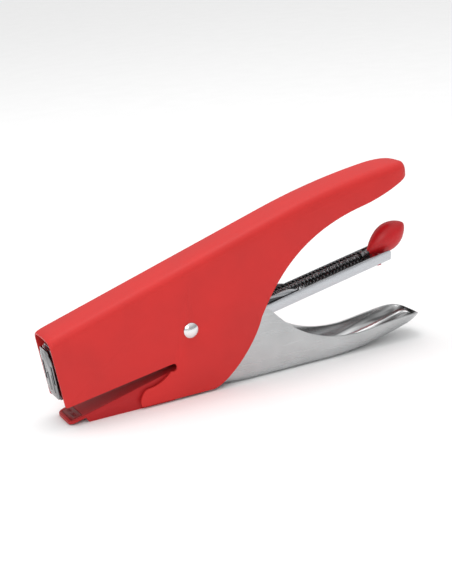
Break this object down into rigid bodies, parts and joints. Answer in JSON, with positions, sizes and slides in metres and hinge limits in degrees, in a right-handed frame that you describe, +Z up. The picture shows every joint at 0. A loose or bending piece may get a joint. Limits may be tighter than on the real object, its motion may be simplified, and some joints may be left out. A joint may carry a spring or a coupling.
{
  "type": "plier stapler",
  "caption": "Hand-squeezed plier stapler with a pressed casing handle, sprung lower handle, swinging magazine, sliding driver and pull-out spring feeder.",
  "frame": {"origin": "under the middle of the stapler, on the surface it stands on", "axes": "+X from the nose to the handles, +Y across the width, +Z up; the stapler stands upright on its anvil arm and lower handle"},
  "size_m": [0.1844, 0.024, 0.0852],
  "materials": {
    "casing_coat": "matte soft-touch red coat on pressed steel",
    "arm_paint": "satin red paint",
    "lever_plate": "satin nickel plate outside, bright in the spoon",
    "magazine_plate": "bright zinc plate",
    "rivet_chrome": "polished",
    "spring_steel": "dark oiled spring wire",
    "knob_plastic": "glossy moulded red"
  },
  "bodies": {
    "body": {"casing": "casing_coat", "anvil_arm": "arm_paint", "clinch_plate": "magazine_plate", "magazine_lift_spring": "spring_steel", "main_rivet": "rivet_chrome"},
    "lever": {"lower_handle": "lever_plate", "lever_bridge": "magazine_plate", "spring_seat": "magazine_plate", "driver_pin": "magazine_plate", "return_spring": "spring_steel"},
    "magazine": {"magazine_channel": "magazine_plate", "staple_rail": "magazine_plate", "magazine_cover": "magazine_plate", "front_guide": "magazine_plate", "rail_rivet_front": "magazine_plate", "rail_rivet_rear": "magazine_plate"},
    "driver": {"driver_blade": "magazine_plate", "driver_holder": "magazine_plate", "driver_rivet_left": "magazine_plate", "driver_rivet_right": "magazine_plate"},
    "feeder": {"feeder_rod": "magazine_plate", "feeder_spring": "spring_steel", "rod_collar": "magazine_plate", "feeder_knob": "knob_plastic"},
    "pusher": {"staple_pusher": "magazine_plate"}
  },
  "joints": [
    {"name": "squeeze", "type": "hinge", "parent": "body", "child": "lever", "pos_m": [-0.02864, 0, 0.0304], "axis": [0, -1, 0], "range_deg": [0, 13.5], "stiffness_Nm_per_rad": 3.8, "springref_deg": -4.53, "deforming": ["return_spring"]},
    {"name": "magazine_swing", "type": "hinge", "parent": "body", "child": "magazine", "pos_m": [-0.02864, 0, 0.0304], "axis": [0, -1, 0], "range_deg": [0, 6], "deforming": ["magazine_lift_spring"]},
    {"name": "driver_slide", "type": "slide", "parent": "magazine", "child": "driver", "axis": [0.1891, 0, -0.982], "range_m": [0, 0.0068]},
    {"name": "feeder_pull", "type": "slide", "parent": "magazine", "child": "feeder", "axis": [0.982, 0, 0.1891], "range_m": [0, 0.105]},
    {"name": "pusher_slide", "type": "slide", "parent": "feeder", "child": "pusher", "axis": [0.982, 0, 0.1891], "range_m": [0, 0.09], "stiffness_N_per_m": 30, "springref_m": -0.067, "deforming": ["feeder_spring"]}
  ],
  "couplings": [
    {"joint": "magazine_swing", "follows": "squeeze", "ratio": 0.4444},
    {"joint": "driver_slide", "follows": "squeeze", "m_per_rad": 0.02885}
  ]
}
